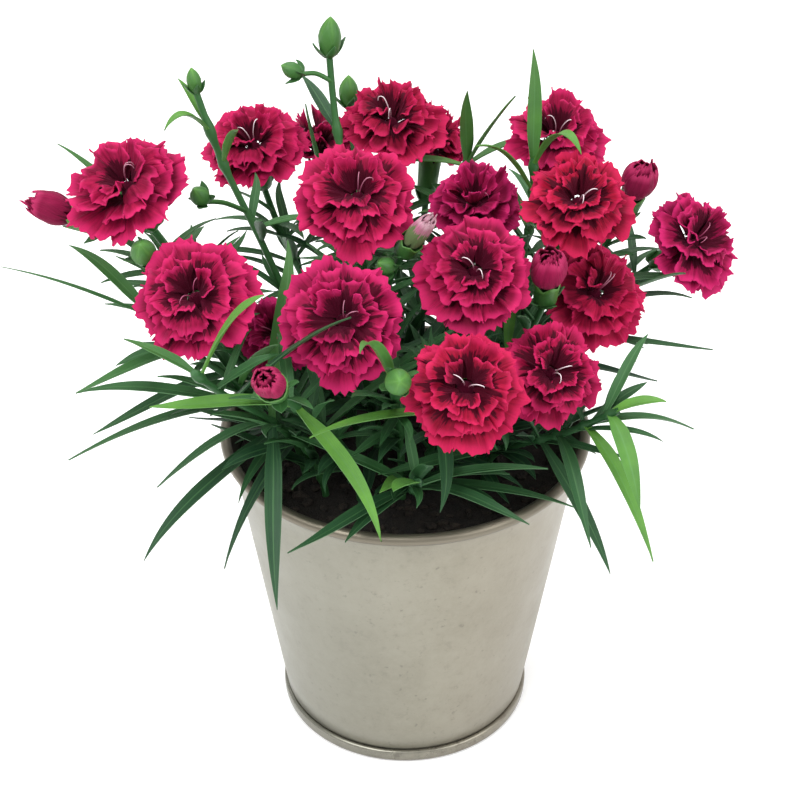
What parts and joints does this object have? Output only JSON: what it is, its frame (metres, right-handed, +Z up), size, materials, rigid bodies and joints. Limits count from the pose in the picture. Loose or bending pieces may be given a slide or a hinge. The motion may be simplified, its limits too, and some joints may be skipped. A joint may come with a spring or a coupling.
{
  "type": "dianthus plant in a pot",
  "caption": "Compact potted dianthus with double crimson toothed-edge blooms, green buds and narrow grassy leaves, growing in dark soil in a tapered round zinc pot",
  "frame": {"origin": "centre of the pot's flat underside, on the surface it stands on", "axes": "+Z up along the pot's axis; -Y towards the side of the plant shown in front; +X to the right of that side"},
  "size_m": [0.2574, 0.2072, 0.258],
  "materials": {
    "pot_zinc": "galvanised zinc sheet with a satin, faintly mottled surface",
    "pot_seam_zinc": "the same sheet folded into the shinier seam round the bottom",
    "potting_soil": "moist crumbly peat with small bark pieces",
    "petal_crimson": "soft matt petals, crimson to magenta with a dark centre and pale toothed rims",
    "bud_crimson": "tightly rolled crimson petal tips",
    "leaf_green": "waxy satin leaves, stems, cups and closed buds"
  },
  "bodies": {
    "root": {"pot_wall": "pot_zinc", "pot_base": "pot_seam_zinc", "potting_soil": "potting_soil", "bloom_01": "petal_crimson", "bloom_02": "petal_crimson", "bloom_03": "petal_crimson", "bloom_04": "petal_crimson", "bloom_05": "petal_crimson", "bloom_06": "petal_crimson", "bloom_07": "petal_crimson", "bloom_08": "petal_crimson", "bloom_09": "petal_crimson", "bloom_10": "petal_crimson", "bloom_11": "petal_crimson", "bloom_12": "petal_crimson", "bloom_13": "petal_crimson", "bloom_14": "petal_crimson", "bloom_15": "petal_crimson", "bloom_16": "petal_crimson", "bloom_17": "petal_crimson", "bud_petals_05": "bud_crimson", "bud_petals_07": "bud_crimson", "bud_petals_08": "bud_crimson", "bud_petals_09": "bud_crimson", "bud_petals_10": "bud_crimson", "bloom_stem_01": "leaf_green", "bloom_stem_02": "leaf_green", "bloom_stem_03": "leaf_green", "bloom_stem_04": "leaf_green", "bloom_stem_05": "leaf_green", "bloom_stem_06": "leaf_green", "bloom_stem_07": "leaf_green", "bloom_stem_08": "leaf_green", "bloom_stem_09": "leaf_green", "bloom_stem_10": "leaf_green", "bloom_stem_11": "leaf_green", "bloom_stem_12": "leaf_green", "bloom_stem_13": "leaf_green", "bloom_stem_14": "leaf_green", "bloom_stem_15": "leaf_green", "bloom_stem_16": "leaf_green", "bloom_stem_17": "leaf_green", "bud_stem_01": "leaf_green", "bud_stem_02": "leaf_green", "bud_stem_03": "leaf_green", "bud_stem_04": "leaf_green", "bud_stem_05": "leaf_green", "bud_stem_06": "leaf_green", "bud_stem_07": "leaf_green", "bud_stem_08": "leaf_green", "bud_stem_09": "leaf_green", "bud_stem_10": "leaf_green", "leafy_shoot_01": "leaf_green", "leafy_shoot_02": "leaf_green", "leafy_shoot_03": "leaf_green", "leafy_shoot_04": "leaf_green", "leafy_shoot_05": "leaf_green", "leafy_shoot_06": "leaf_green", "leafy_shoot_07": "leaf_green"}
  },
  "joints": []
}
